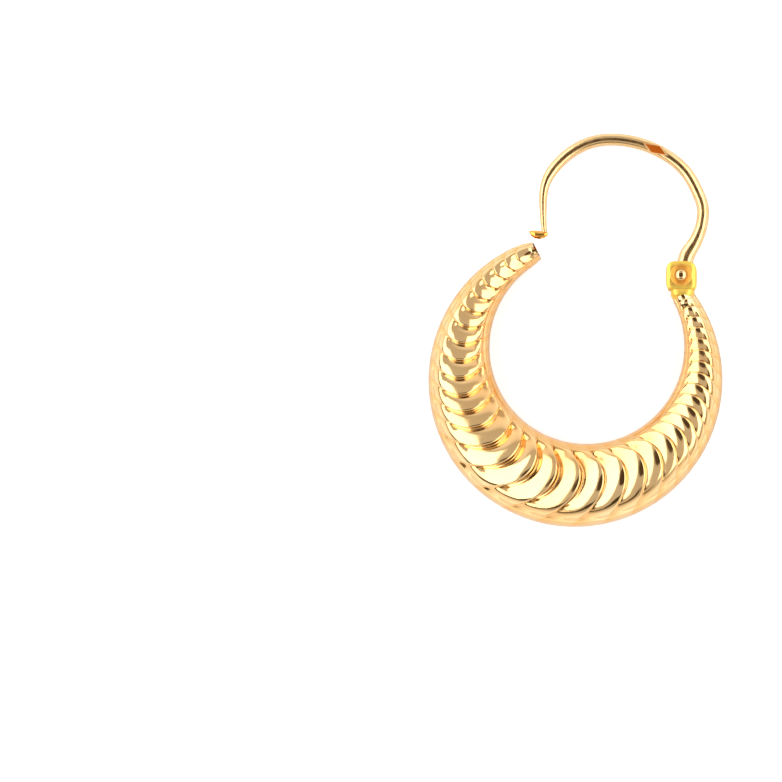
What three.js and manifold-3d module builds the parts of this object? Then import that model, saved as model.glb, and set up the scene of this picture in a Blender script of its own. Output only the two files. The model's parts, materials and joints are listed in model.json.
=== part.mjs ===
// Hoop earring, lying on its back: a hollow gold crescent with slanted gadroon ribs on both faces,
// a hinge box soldered to one end, and a bent ear wire whose foot catches in the notch of the other end.
// Millimetres. The hoop is drawn in the XY plane, centred on its outer circle, with the belly (the widest
// part) at -Y, the hinge on the +X side and the front face towards +Z. The last section lays it down.

import * as THREE from 'three';
import { mergeVertices } from 'three/addons/utils/BufferGeometryUtils.js';
import { ConvexHull } from 'three/addons/math/ConvexHull.js';
import Module from 'manifold-3d';

const wasm = await Module();
wasm.setup();

// Hoop
const outerDiameter = 22.0;
const innerDiameter = 14.66;
const bellyWidth = 6.32;
const bellyDepth = 5.0;
const endDepth = 1.9;
const tipAngle = 133.7;
const hingeEndAngle = 137.0;
const sheetThickness = 0.25;

const tipTaper = 0.14;
const tipBevel = 0.17;

// Ribs: each groove bows towards the hinge, and its outer end lags and sweeps back, in shares of the width.
// A rib rises gently from the groove on its tip side and drops steeply into the next one.
const grooveBow = 0.27;
const grooveSkew = 0.2;
const grooveSweep = 0.32;
const fullnessPower = 1.5;
const ribDepthShare = 0.2;
const ribCrest = 0.78;
const ribRoundness = 2.2;
const innerBand = 0.5;
const outerBand = 0.36;
const bandFade = 0.14;
const groovePhase = -0.48;
const plainEnd = 6;
const plainHingeEnd = 10;
const endRing = 1;

// How far apart the grooves are, in degrees, at angles counted from the belly towards the hinge
const ribPitch = [
  { at: -130, pitch: 5.9 },
  { at: -85, pitch: 7.3 },
  { at: -50, pitch: 6.7 },
  { at: -35, pitch: 9.4 },
  { at: 0, pitch: 11.3 },
  { at: 20, pitch: 10.25 },
  { at: 45, pitch: 8.5 },
  { at: 65, pitch: 6.0 },
  { at: 90, pitch: 6.2 },
  { at: 130, pitch: 6.1 },
];

// Hinge box, upright beside the end of the arm
const boxTurn = 18.9;
const boxAcross = 0.09;
const boxLeft = 1.14;
const boxRight = 1.12;
const boxCorner = 0.26;
const shoulderCut = 0.5;
const archInset = 0.6;
const boxShoulder = 0.78;
const boxCrown = 1.06;
const cheekThickness = 0.42;
const floorThickness = 0.22;
const collarLength = 0.36;
const collarWidth = 1.74;
const collarDepthShare = 0.94;
const collarFootShare = 0.82;
const collarOverlap = 0.12;
const collarCut = 0.25;
const dishRadius = 0.79;
const dishFloorRadius = 0.52;
const dishDepth = 0.2;

// Rivet and knuckle
const rivetRadius = 0.25;
const rivetHeadRadius = 0.44;
const rivetHeadRise = 0.26;
const rivetCrownShare = 0.6;
const rivetCrownDrop = 0.2;
const rivetRimDrop = 0.65;
const rivetClearance = 0.05;
const knuckleRadius = 0.82;
const knuckleThickness = 0.9;
const runningGap = 0.06;
const floorGap = 0.1;

// Ear wire
const wireRise = 8.6;
const wireWidth = 0.9;
const wireThickness = 0.84;
const footLength = 1.22;
const footHeight = 0.62;
const footThickness = 0.56;
const footTurn = 30;
const catchGap = 0.14;
const openAtRest = 6;
const wireSquareness = 0.82;

// Centre line of the wire from the rivet to the foot, in shares of the span between them and of the rise,
// with its width and thickness in shares of the wire's own
const wireRows = [
  { along: 0.006, out: 0.055, width: 1.06, thickness: 1.0 },
  { along: 0.005, out: 0.19, width: 1.06, thickness: 1.0 },
  { along: -0.026, out: 0.33, width: 1.03, thickness: 1.0 },
  { along: -0.028, out: 0.478, width: 1.0, thickness: 1.0 },
  { along: -0.001, out: 0.622, width: 1.0, thickness: 1.0 },
  { along: 0.07, out: 0.745, width: 1.0, thickness: 1.0 },
  { along: 0.192, out: 0.885, width: 1.0, thickness: 1.0 },
  { along: 0.341, out: 0.966, width: 1.0, thickness: 1.0 },
  { along: 0.545, out: 1.0, width: 1.0, thickness: 1.0 },
  { along: 0.751, out: 0.963, width: 1.0, thickness: 0.98 },
  { along: 0.899, out: 0.873, width: 1.0, thickness: 0.95 },
  { along: 1.016, out: 0.72, width: 0.98, thickness: 0.92 },
  { along: 1.091, out: 0.524, width: 0.93, thickness: 0.88 },
  { along: 1.101, out: 0.377, width: 0.76, thickness: 0.8 },
  { along: 1.056, out: 0.166, width: 0.58, thickness: 0.7 },
  { along: 1.008, out: 0.012, width: 0.46, thickness: 0.66 },
];

// Foot outline in shares of its length and height, from the heel under the wire to the pointed end and back
const footRows = [
  [-0.17, 0.2],
  [-0.17, -0.22],
  [-0.07, -0.5],
  [0.28, -0.66],
  [0.62, -0.62],
  [0.86, -0.36],
  [1, 0.24],
  [0.5, 0.34],
  [0.17, 0.3],
];

// Bare lozenge filed into the front of the wire's crown, with its corners in shares of its length and height
const lozengeAt = 0.41;
const lozengeLength = 2.0;
const lozengeHeight = 0.8;
const lozengeDepth = 0.2;
const lozengeCorners = [[-0.5, -0.06], [0.1, -0.5], [0.5, 0.06], [-0.1, 0.5]];

// The catch's notch: how far it is cut past the foot, in clearances, and where its floor starts to rise
const notchRun = 3;
const notchFloorShare = 0.6;

// How far the hollow stops short of the hinge end, in degrees
const solidHingeEnd = 6;

// Mesh fineness
const ribStops = [0, 0.22, 0.5, 0.78];
const cavityStops = [0, 0.5];
const phaseStep = 0.5;
const shellSides = 20;
const cavitySides = 12;
const wireSteps = 46;
const wireSides = 12;
const roundSides = 20;
const archSteps = 6;
const weldDistance = 1e-5;

const outerRadius = outerDiameter / 2;
const innerRadius = innerDiameter / 2;
const innerCentreY = innerRadius + bellyWidth - outerRadius;
const rad = THREE.MathUtils.degToRad;
const deg = THREE.MathUtils.radToDeg;

// The arms reach their named angles, or stop where the two circles leave less width than the catch needs
const armAngle = narrowestAngle(wireWidth + 2 * catchGap);
const tipStop = Math.min(tipAngle, armAngle);
const hingeStop = Math.min(hingeEndAngle, armAngle);

function narrowestAngle(width) {
  const reach = innerRadius + width;
  const room = outerRadius ** 2 - innerCentreY ** 2 - reach ** 2;
  const rise = room / (2 * reach * innerCentreY);
  return 90 + deg(Math.asin(THREE.MathUtils.clamp(rise, -1, 1)));
}

// Geometry helpers

function readTable(rows, key, value, at) {
  const last = rows.length - 1;
  if (at <= rows[0][key]) return rows[0][value];
  if (at >= rows[last][key]) return rows[last][value];
  const i = rows.findIndex((row) => row[key] > at);
  const share = (at - rows[i - 1][key]) / (rows[i][key] - rows[i - 1][key]);
  return THREE.MathUtils.lerp(rows[i - 1][value], rows[i][value], share);
}

// Six times the volume inside a triangle mesh, negative where its faces point inwards
function signedVolume(positions, index) {
  const corner = (k) => new THREE.Vector3().fromArray(positions, index[k] * 3);
  let total = 0;
  for (let k = 0; k < index.length; k += 3) total += corner(k).dot(corner(k + 1).cross(corner(k + 2)));
  return total;
}

function toSolid(geometry) {
  const bare = geometry.clone();
  bare.deleteAttribute('normal');
  bare.deleteAttribute('uv');
  const merged = mergeVertices(bare, weldDistance);
  const vertProperties = new Float32Array(merged.attributes.position.array);
  const triVerts = new Uint32Array(merged.index.array);
  if (signedVolume(vertProperties, triVerts) < 0) triVerts.reverse();
  return new wasm.Manifold(new wasm.Mesh({ numProp: 3, vertProperties, triVerts }));
}

function toGeometry(solid) {
  const mesh = solid.getMesh();
  const geometry = new THREE.BufferGeometry();
  geometry.setAttribute('position', new THREE.BufferAttribute(new Float32Array(mesh.vertProperties), 3));
  geometry.setIndex(new THREE.BufferAttribute(new Uint32Array(mesh.triVerts), 1));
  return geometry;
}

// A closed skin through a row of sections that all have the same number of points
function loft(sections) {
  const count = sections[0].length;
  const positions = [];
  const index = [];
  sections.forEach((section) => section.forEach((p) => positions.push(p.x, p.y, p.z)));
  for (let i = 0; i + 1 < sections.length; i += 1) {
    for (let j = 0; j < count; j += 1) {
      const a = i * count + j;
      const b = i * count + ((j + 1) % count);
      index.push(a, b, a + count, b, b + count, a + count);
    }
  }
  const addCap = (section, first, flip) => {
    const middle = new THREE.Vector3();
    section.forEach((p) => middle.addScaledVector(p, 1 / count));
    const centre = positions.length / 3;
    positions.push(middle.x, middle.y, middle.z);
    for (let j = 0; j < count; j += 1) {
      const a = first + j;
      const b = first + ((j + 1) % count);
      if (flip) index.push(centre, b, a);
      else index.push(centre, a, b);
    }
  };
  addCap(sections[0], 0, true);
  addCap(sections[sections.length - 1], (sections.length - 1) * count, false);
  const geometry = new THREE.BufferGeometry();
  geometry.setAttribute('position', new THREE.Float32BufferAttribute(positions, 3));
  geometry.setIndex(index);
  return geometry;
}

// A flat outline made into a plate between two heights
function plate(points, low, high) {
  const outline = new THREE.Shape(points);
  const geometry = new THREE.ExtrudeGeometry(outline, { depth: high - low, bevelEnabled: false });
  return geometry.translate(0, 0, low);
}

// A turned solid about the Z axis from pairs of radius and height
function turned(profile) {
  const points = profile.map(([r, z]) => new THREE.Vector2(r, z));
  return new THREE.LatheGeometry(points, roundSides).rotateX(Math.PI / 2);
}

function disc(radius, low, high) {
  return turned([[0, low], [radius, low], [radius, high], [0, high]]);
}

// Hoop shape: angles are counted about the inner circle's centre, from the belly towards the hinge

function direction(angle) {
  const a = rad(angle - 90);
  return new THREE.Vector2(Math.cos(a), Math.sin(a));
}

function widthAt(angle) {
  const d = direction(angle);
  const shift = innerCentreY * d.y;
  const reach = -shift + Math.sqrt(outerRadius ** 2 - innerCentreY ** 2 + shift ** 2);
  return reach - innerRadius;
}

function depthAt(angle) {
  const endWidth = (widthAt(-tipStop) + widthAt(hingeStop)) / 2;
  const share = (widthAt(angle) - endWidth) / (bellyWidth - endWidth);
  return endDepth + (bellyDepth - endDepth) * Math.max(share, 0);
}

function endFade(angle) {
  const atTip = THREE.MathUtils.smoothstep(angle + tipStop, 0, plainEnd);
  const atHinge = THREE.MathUtils.smoothstep(hingeStop - angle, 0, plainHingeEnd);
  return Math.min(atTip, atHinge);
}

// 1 at the open tip, falling to 0 over the plain end
function tipNearness(angle) {
  return 1 - THREE.MathUtils.smoothstep(angle + tipStop, 0, plainEnd);
}

// Angle of each groove and of the places between grooves, from the table of pitches
function angleOfPhase(phase) {
  const sign = Math.sign(phase);
  let angle = 0;
  let done = 0;
  for (;;) {
    const pitch = readTable(ribPitch, 'at', 'pitch', angle + (sign * phaseStep) / 2);
    const next = done + phaseStep / pitch;
    if (next >= Math.abs(phase)) return angle + sign * (Math.abs(phase) - done) * pitch;
    done = next;
    angle += sign * phaseStep;
  }
}

// The places between two angles where the skin is drawn: the same stops on every rib
function ribStations(stops, low, high) {
  const leastPitch = Math.min(...ribPitch.map((row) => row.pitch));
  const start = groovePhase - Math.ceil(-low / leastPitch);
  const stations = [];
  for (let rib = start; ; rib += 1) {
    for (const part of stops) {
      const angle = angleOfPhase(rib + part);
      if (angle >= high - endRing) return stations;
      if (angle > low + endRing) stations.push({ angle, part });
    }
  }
}

// How far a rib has fallen from its crest, 0 to 1, at a share of the way from groove to groove
function ribFall(part) {
  const fromCrest = part < ribCrest ? (ribCrest - part) / ribCrest : (part - ribCrest) / (1 - ribCrest);
  return fromCrest ** ribRoundness;
}

// 0 on the plain bands beside both rims and 1 between them
function bandWindow(across, width) {
  const edge = ((1 - Math.abs(across)) / 2) * width;
  const band = ((across < 0 ? innerBand : outerBand) * (1 + width / bellyWidth)) / 2;
  return THREE.MathUtils.smoothstep(edge, band, band + bandFade * width);
}

// How far a groove lies towards the hinge at a place across the band
function grooveShift(across, width) {
  const fullness = (width / bellyWidth) ** fullnessPower;
  const bow = grooveBow * Math.sqrt(Math.max(1 - across * across, 0));
  const lag = (grooveSkew * across) / 2 + grooveSweep * Math.max(across, 0) ** 4;
  return width * (bow - fullness * lag);
}

// One point of the skin: around is 0 on the inner rim, 90 on the front crest and 180 on the outer rim.
// A point that a groove's bow moves along the hoop takes its width and depth from the place it lands on.
function skinPoint(station, around, inset) {
  const across = -Math.cos(rad(around));
  const up = Math.sin(rad(around));
  const start = widthAt(station.angle);
  const fade = endFade(station.angle);
  const nearTip = tipNearness(station.angle);
  const shift = grooveShift(across, start) * fade + tipBevel * nearTip * Math.max(up, 0);
  const angle = station.angle + deg(shift / (innerRadius + (start / 2) * (1 + across)));
  const width = widthAt(angle);
  const halfWidth = (width / 2) * (1 - tipTaper * nearTip) - inset;
  const halfDepth = depthAt(angle) / 2 - inset;
  const middleRadius = innerRadius + width / 2;
  const pitch = rad(readTable(ribPitch, 'at', 'pitch', station.angle)) * middleRadius;
  const relief = -ribDepthShare * pitch * ribFall(station.part) * bandWindow(across, width) * fade;
  const normal = new THREE.Vector2(across / halfWidth, up / halfDepth).normalize();
  const radius = middleRadius + across * halfWidth + normal.x * relief;
  const z = up * halfDepth + normal.y * relief;
  const d = direction(angle);
  return new THREE.Vector3(d.x * radius, innerCentreY + d.y * radius, z);
}

function skinSection(station, sides, inset) {
  const points = [];
  for (let i = 0; i < sides; i += 1) points.push(skinPoint(station, (360 * i) / sides, inset));
  return points;
}

function sweptSkin(stops, sides, inset, tipEnd, hingeEnd) {
  const inner = ribStations(stops, -tipStop, hingeEnd);
  const stations = [{ angle: tipEnd, part: ribCrest }, ...inner, { angle: hingeEnd, part: ribCrest }];
  return toSolid(loft(stations.map((station) => skinSection(station, sides, inset))));
}

// Hinge and catch places, worked out from the ends of the crescent

const hingeDirection = direction(hingeStop);
const hingeEndRadius = innerRadius + widthAt(hingeStop) / 2;
const hingeEndCentre = hingeDirection.clone().multiplyScalar(hingeEndRadius);
hingeEndCentre.y += innerCentreY;
const boxUp = new THREE.Vector2(-Math.sin(rad(boxTurn)), Math.cos(rad(boxTurn)));
const boxRightward = new THREE.Vector2(boxUp.y, -boxUp.x);
const floorTop = -(knuckleRadius + floorGap);
const boxBottom = floorTop - floorThickness;
const collarBottom = boxBottom - collarLength;
const pin = hingeEndCentre.clone();
pin.addScaledVector(boxUp, -collarBottom);
pin.addScaledVector(boxRightward, -boxAcross);

const slotHalf = knuckleThickness / 2 + runningGap;
const boxHalf = slotHalf + cheekThickness;

const tipDirection = direction(-tipStop);
const tipWidth = widthAt(-tipStop);
const tipNormal = new THREE.Vector2(-tipDirection.y, tipDirection.x).negate();
const tipCentre = tipDirection.clone().multiplyScalar(innerRadius + tipWidth / 2);
tipCentre.y += innerCentreY;
const hookWidth = wireWidth * wireRows[wireRows.length - 1].width;
const hook = tipCentre.clone().addScaledVector(tipNormal, hookWidth / 2 + catchGap);

const span = hook.clone().sub(pin);
const spanLength = span.length();
const spanAlong = span.clone().normalize();
const spanOut = new THREE.Vector2(spanAlong.y, -spanAlong.x);

function inBox(across, up) {
  return pin.clone().addScaledVector(boxRightward, across).addScaledVector(boxUp, up);
}

function inSpan(along, out) {
  const point = pin.clone().addScaledVector(spanAlong, along * spanLength);
  return point.addScaledVector(spanOut, out * wireRise);
}

// Hoop body: crescent, collar and hinge box in one soldered piece

function cheekOutline() {
  const arc = [];
  const inset = boxCorner * archInset;
  for (let i = 0; i <= archSteps; i += 1) {
    const share = i / archSteps;
    const across = THREE.MathUtils.lerp(boxRight - inset, -boxLeft + inset, share);
    const up = boxShoulder + (boxCrown - boxShoulder) * (1 - (2 * share - 1) ** 2);
    arc.push([across, up]);
  }
  const shoulder = boxShoulder - boxCorner * shoulderCut;
  const outline = [
    [-boxLeft, shoulder],
    [-boxLeft, boxBottom + boxCorner],
    [-boxLeft + boxCorner, boxBottom],
    [boxRight - boxCorner, boxBottom],
    [boxRight, boxBottom + boxCorner],
    [boxRight, shoulder],
    ...arc,
  ];
  return outline.map(([across, up]) => inBox(across, up));
}

function atPin(geometry) {
  return geometry.translate(pin.x, pin.y, 0);
}

function hingeBox() {
  let box = toSolid(plate(cheekOutline(), -boxHalf, boxHalf));
  const slot = [
    [-boxLeft - boxRight, floorTop],
    [boxLeft + boxRight, floorTop],
    [boxLeft + boxRight, boxCrown + boxShoulder],
    [-boxLeft - boxRight, boxCrown + boxShoulder],
  ].map(([across, up]) => inBox(across, up));
  box = box.subtract(toSolid(plate(slot, -slotHalf, slotHalf)));
  const boreReach = boxHalf + cheekThickness;
  box = box.subtract(toSolid(atPin(disc(rivetRadius + rivetClearance, -boreReach, boreReach))));
  [1, -1].forEach((side) => {
    const floor = side * (boxHalf - dishDepth);
    const mouth = side * (boxHalf + dishDepth);
    const mouthRadius = dishRadius + (dishRadius - dishFloorRadius);
    const low = side > 0 ? [dishFloorRadius, floor] : [mouthRadius, mouth];
    const high = side > 0 ? [mouthRadius, mouth] : [dishFloorRadius, floor];
    box = box.subtract(toSolid(atPin(turned([[0, low[1]], low, high, [0, high[1]]]))));
  });
  return box;
}

function collar() {
  const section = (up, half, depth) => {
    const cut = collarCut * depth;
    const points = [
      [-half, -depth + cut],
      [-half + cut, -depth],
      [half - cut, -depth],
      [half, -depth + cut],
      [half, depth - cut],
      [half - cut, depth],
      [-half + cut, depth],
      [-half, depth - cut],
    ];
    return points.map(([across, z]) => {
      const p = inBox(boxAcross + across, up);
      return new THREE.Vector3(p.x, p.y, z);
    });
  };
  const half = collarWidth / 2;
  const top = section(boxBottom + collarOverlap, half, boxHalf * collarDepthShare);
  const foot = section(collarBottom - collarLength, half * collarFootShare, (endDepth / 2) * collarFootShare);
  return toSolid(loft([foot, top]));
}

// The notch runs in from the tip's end face, open to the outer edge, between the two shells
function catchNotch() {
  const side = footThickness / 2 + catchGap;
  const inward = tipNormal.clone().negate();
  const reach = footLength * Math.cos(rad(footTurn)) + catchGap * notchRun;
  const point = (along, outward) => tipCentre.clone().addScaledVector(inward, along)
    .addScaledVector(tipDirection, outward);
  const low = -hookWidth / 2 - catchGap;
  const outline = [point(-tipWidth, low), point(reach * notchFloorShare, low),
    point(reach, low + footHeight / 2), point(reach, bellyWidth), point(-tipWidth, bellyWidth)];
  return toSolid(plate(outline, -side, side));
}

function hoopBody() {
  const outside = sweptSkin(ribStops, shellSides, 0, -tipStop, hingeStop);
  const cavity = sweptSkin(cavityStops, cavitySides, sheetThickness, -tipStop - endRing,
    hingeStop - solidHingeEnd);
  return outside.add(collar()).add(hingeBox()).subtract(cavity).subtract(catchNotch());
}

// Ear wire, drawn closed and then opened about the rivet

function wireSection(curve, share) {
  const at = curve.getPoint(share);
  const tangent = curve.getTangent(share);
  const outward = new THREE.Vector2(tangent.y, -tangent.x);
  const row = share * (wireRows.length - 1);
  const rows = wireRows.map((entry, i) => ({ ...entry, i }));
  const halfWidth = (wireWidth * readTable(rows, 'i', 'width', row)) / 2;
  const halfThickness = (wireThickness * readTable(rows, 'i', 'thickness', row)) / 2;
  const points = [];
  for (let i = 0; i < wireSides; i += 1) {
    const a = (2 * Math.PI * (i + 0.5)) / wireSides;
    const u = Math.sign(Math.cos(a)) * Math.abs(Math.cos(a)) ** wireSquareness;
    const v = Math.sign(Math.sin(a)) * Math.abs(Math.sin(a)) ** wireSquareness;
    const p = new THREE.Vector2(at.x, at.y).addScaledVector(outward, u * halfWidth);
    points.push(new THREE.Vector3(p.x, p.y, v * halfThickness));
  }
  return points;
}

function wireCurve() {
  const points = wireRows.map((row) => {
    const p = inSpan(row.along, row.out);
    return new THREE.Vector3(p.x, p.y, 0);
  });
  return new THREE.CatmullRomCurve3(points, false, 'centripetal');
}

// The foot is a small spoon: flat on top, bellied below, pointed at its free end
function footOutline() {
  const inward = tipNormal.clone().negate();
  const along = inward.clone().rotateAround(new THREE.Vector2(), -rad(footTurn) + rad(openAtRest));
  const up = new THREE.Vector2(along.y, -along.x);
  return footRows.map(([x, y]) => hook.clone().addScaledVector(along, x * footLength)
    .addScaledVector(up, y * footHeight));
}

function lozengeCut(curve) {
  const share = readTable(wireRows.map((row, i) => ({ along: row.along, i })), 'along', 'i', lozengeAt);
  const t = share / (wireRows.length - 1);
  const at = curve.getPoint(t);
  const tangent = curve.getTangent(t);
  const along = new THREE.Vector2(tangent.x, tangent.y);
  const out = new THREE.Vector2(tangent.y, -tangent.x);
  const outline = lozengeCorners.map(([x, y]) => new THREE.Vector2(at.x, at.y)
    .addScaledVector(along, x * lozengeLength).addScaledVector(out, y * lozengeHeight));
  const floor = wireThickness / 2 - lozengeDepth;
  return toSolid(plate(outline, floor, floor + wireThickness));
}

function earWire() {
  const curve = wireCurve();
  const sections = [];
  for (let i = 0; i <= wireSteps; i += 1) sections.push(wireSection(curve, i / wireSteps));
  const half = knuckleThickness / 2;
  let wire = toSolid(loft(sections));
  wire = wire.add(toSolid(atPin(disc(knuckleRadius, -half, half))));
  wire = wire.add(toSolid(plate(footOutline(), -footThickness / 2, footThickness / 2)));
  const boreReach = knuckleThickness;
  wire = wire.subtract(toSolid(atPin(disc(rivetRadius + rivetClearance, -boreReach, boreReach))));
  wire = wire.subtract(lozengeCut(curve));
  return wire;
}

// Rivet: a shank through both cheeks and the knuckle, with a low domed head in each dish
function hingeRivet() {
  const seat = boxHalf - dishDepth + rivetClearance;
  const top = seat + rivetHeadRise;
  const crown = [rivetHeadRadius * rivetCrownShare, top - rivetHeadRise * rivetCrownDrop];
  const rim = [rivetHeadRadius, top - rivetHeadRise * rivetRimDrop];
  const half = [[rivetRadius, seat], [rivetHeadRadius, seat], rim, crown, [0, top]];
  const mirrored = half.map(([radius, z]) => [radius, -z]).reverse();
  const profile = [...mirrored, ...half];
  return toSolid(turned(profile));
}

const gold = () => new THREE.MeshStandardMaterial({ color: 0xe3b66c, roughness: 0.14, metalness: 1 });

function namedMesh(name, solid) {
  const mesh = new THREE.Mesh(toGeometry(solid), gold());
  mesh.name = name;
  return mesh;
}

const earring = new THREE.Group();
const hoop = namedMesh('hoop_body', hoopBody());
earring.add(hoop);

const rivet = namedMesh('hinge_rivet', hingeRivet());
rivet.position.set(pin.x, pin.y, 0);
earring.add(rivet);

const swing = new THREE.Group();
swing.position.set(pin.x, pin.y, 0);
swing.rotation.z = -rad(openAtRest);
const wire = namedMesh('ear_wire', earWire());
wire.position.set(-pin.x, -pin.y, 0);
swing.add(wire);
earring.add(swing);

// Lay the earring down: it rests on the hull face that its centre of mass stands over.
// Only faces that look mostly down, to the back of the hoop, are tried.
const leastDownward = -0.8;

function worldPoints(root) {
  root.updateMatrixWorld(true);
  const points = [];
  root.traverse((item) => {
    if (!item.isMesh) return;
    const position = item.geometry.attributes.position;
    for (let i = 0; i < position.count; i += 1) {
      points.push(new THREE.Vector3().fromBufferAttribute(position, i).applyMatrix4(item.matrixWorld));
    }
  });
  return points;
}

function centreOfMass(root) {
  root.updateMatrixWorld(true);
  const centre = new THREE.Vector3();
  let total = 0;
  root.traverse((item) => {
    if (!item.isMesh) return;
    const { position } = item.geometry.attributes;
    const index = item.geometry.index.array;
    const corner = (k) => new THREE.Vector3().fromBufferAttribute(position, index[k])
      .applyMatrix4(item.matrixWorld);
    for (let k = 0; k < index.length; k += 3) {
      const [a, b, c] = [corner(k), corner(k + 1), corner(k + 2)];
      const volume = a.dot(b.clone().cross(c)) / 6;
      centre.addScaledVector(a.add(b).add(c), volume / 4);
      total += volume;
    }
  });
  return centre.divideScalar(total);
}

function restingFace(points, centre) {
  const hull = new ConvexHull().setFromPoints(points);
  let best = null;
  hull.faces.forEach((face) => {
    if (face.normal.z > leastDownward) return;
    const drop = face.distanceToPoint(centre);
    const foot = centre.clone().addScaledVector(face.normal, -drop);
    const corners = [face.getEdge(0), face.getEdge(1), face.getEdge(2)].map((edge) => edge.head().point);
    const inside = new THREE.Triangle(...corners).containsPoint(foot);
    if (inside && (!best || -drop < best.height)) best = { height: -drop, normal: face.normal.clone() };
  });
  return best.normal;
}

const down = restingFace(worldPoints(earring), centreOfMass(earring));
earring.quaternion.setFromUnitVectors(down, new THREE.Vector3(0, 0, -1));
const extent = new THREE.Box3().setFromPoints(worldPoints(earring));
const middle = extent.getCenter(new THREE.Vector3());
earring.position.set(-middle.x, -middle.y, -extent.min.z);

export default earring;
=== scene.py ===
"""Hoop earring: the polished gold hoop, its hinge box, rivet and ear wire, on a pale table."""

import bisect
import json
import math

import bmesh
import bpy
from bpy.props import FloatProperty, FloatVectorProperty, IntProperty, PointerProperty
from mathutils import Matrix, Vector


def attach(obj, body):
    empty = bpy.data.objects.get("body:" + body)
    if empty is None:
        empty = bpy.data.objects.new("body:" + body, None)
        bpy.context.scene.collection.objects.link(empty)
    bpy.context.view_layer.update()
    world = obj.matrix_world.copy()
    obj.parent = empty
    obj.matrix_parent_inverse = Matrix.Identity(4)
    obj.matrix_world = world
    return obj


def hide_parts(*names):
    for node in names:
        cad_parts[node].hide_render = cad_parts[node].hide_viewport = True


bl_info = {
    "name": "Gadrooned hoop earring",
    "version": (1, 0, 0),
    "blender": (4, 5, 0),
    "location": "View3D > Sidebar > Earring",
    "description": "Models a hollow gold hoop earring with slanted ribs, a riveted hinge and a bent ear wire",
    "category": "Object",
}

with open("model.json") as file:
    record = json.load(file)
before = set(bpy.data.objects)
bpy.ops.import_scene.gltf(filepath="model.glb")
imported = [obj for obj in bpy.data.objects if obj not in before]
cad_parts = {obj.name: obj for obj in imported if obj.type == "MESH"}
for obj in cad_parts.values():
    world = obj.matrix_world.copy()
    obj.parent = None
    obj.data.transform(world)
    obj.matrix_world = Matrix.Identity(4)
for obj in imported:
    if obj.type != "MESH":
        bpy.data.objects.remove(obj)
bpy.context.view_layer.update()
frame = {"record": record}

MM = 0.001
RECORD = frame["record"]
HINGE = RECORD["behaviour"]["joints"][0]
HINGE_PIN = Vector(HINGE["pos_m"])
FACE_NORMAL = -Vector(HINGE["axis"])


def table(columns, *rows):
    """A short table: the columns' names, then one row after the other."""
    return [dict(zip(columns.split(), row)) for row in rows]


# How far apart the grooves are, in degrees, at angles counted from the belly towards the hinge
RIB_PITCH = table(
    "at pitch",
    (-130, 5.9),
    (-85, 7.3),
    (-50, 6.7),
    (-35, 9.4),
    (0, 11.3),
    (20, 10.25),
    (45, 8.5),
    (65, 6.0),
    (90, 6.2),
    (130, 6.1),
)

# How far a groove bends and how far its outer end lags, as shares of the width, and how high a rib stands
# as a share of its pitch, at angles counted the same way
RIB_SHAPE = table(
    "at bow lag height",
    (-130, 0.28, 0.0, 0.22),
    (-65, 0.34, 0.08, 0.27),
    (-38, 0.37, 0.34, 0.27),
    (-10, 0.37, 0.06, 0.26),
    (25, 0.32, 0.0, 0.2),
    (60, 0.26, 0.0, 0.18),
    (130, 0.2, 0.0, 0.18),
)

# Centre line of the wire from the rivet to the foot, in shares of the span between them and of the rise,
# with its width and thickness in shares of the wire's own
WIRE_ROWS = table(
    "along out width thickness",
    (0.0, 0.055, 1.28, 1.0),
    (0.005, 0.19, 1.3, 1.0),
    (-0.022, 0.33, 1.12, 1.0),
    (-0.028, 0.478, 1.0, 1.0),
    (-0.001, 0.622, 1.0, 1.0),
    (0.07, 0.745, 1.0, 1.0),
    (0.192, 0.885, 1.0, 1.0),
    (0.341, 0.966, 1.0, 1.0),
    (0.545, 1.0, 1.0, 1.0),
    (0.751, 0.963, 1.0, 0.98),
    (0.899, 0.873, 1.0, 0.95),
    (1.016, 0.72, 0.98, 0.92),
    (1.091, 0.524, 0.93, 0.88),
    (1.101, 0.377, 0.76, 0.8),
    (1.056, 0.166, 0.58, 0.7),
    (1.008, 0.012, 0.46, 0.66),
)

# The foot's top and bottom edges in shares of its height, and its half thickness in shares of its own
FOOT_ROWS = table(
    "along top bottom thick",
    (-0.17, 0.16, -0.2, 0.55),
    (0.0, 0.3, -0.46, 0.9),
    (0.28, 0.34, -0.66, 1.0),
    (0.62, 0.36, -0.6, 0.9),
    (0.86, 0.32, -0.3, 0.65),
    (1.0, 0.27, 0.14, 0.3),
)

# The light tent, drawn as a level surface would have to lean to mirror each place of it:
# 0 is straight overhead and 1 is the horizon
TENT_STOPS = [
    {"at": 0.0, "light": (0.64, 0.61, 0.6)},
    {"at": 0.56, "light": (0.6, 0.57, 0.55)},
    {"at": 0.62, "light": (0.95, 0.93, 0.95)},
    {"at": 1.0, "light": (1.5, 1.5, 1.62)},
]

# Windows and dark strips of the tent, from edge to edge in the same measure. A later one covers those before.
PANES = [
    {"right": (-0.5, -0.19), "up": (-0.28, 0.46), "light": (2.5, 2.5, 2.5)},
    {"right": (0.19, 0.5), "up": (-0.28, 0.42), "light": (2.5, 2.5, 2.45)},
    {"right": (-0.62, 0.16), "up": (-0.41, -0.29), "light": (0.07, 0.055, 0.035)},
    {"right": (-0.62, -0.56), "up": (-0.42, 0.3), "light": (0.22, 0.18, 0.13)},
    {"right": (0.57, 0.62), "up": (-0.42, 0.3), "light": (0.35, 0.3, 0.22)},
]
PANE_EDGE = 0.02

# The dark hole that the camera looks through
LENS_UP = 0.07
LENS_RADIUS = 0.14
LENS_GREY = (0.08, 0.055, 0.035)

# The pale table, which glows a little for the camera alone
PAPER = {
    "Base Color": (0.86, 0.86, 0.9, 1),
    "Roughness": 0.9,
    "Specular IOR Level": 0.1,
    "Emission Color": (1, 1, 1, 1),
}
PAPER_GLOW = 0.4
TABLE_HALF = 1.5

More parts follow.
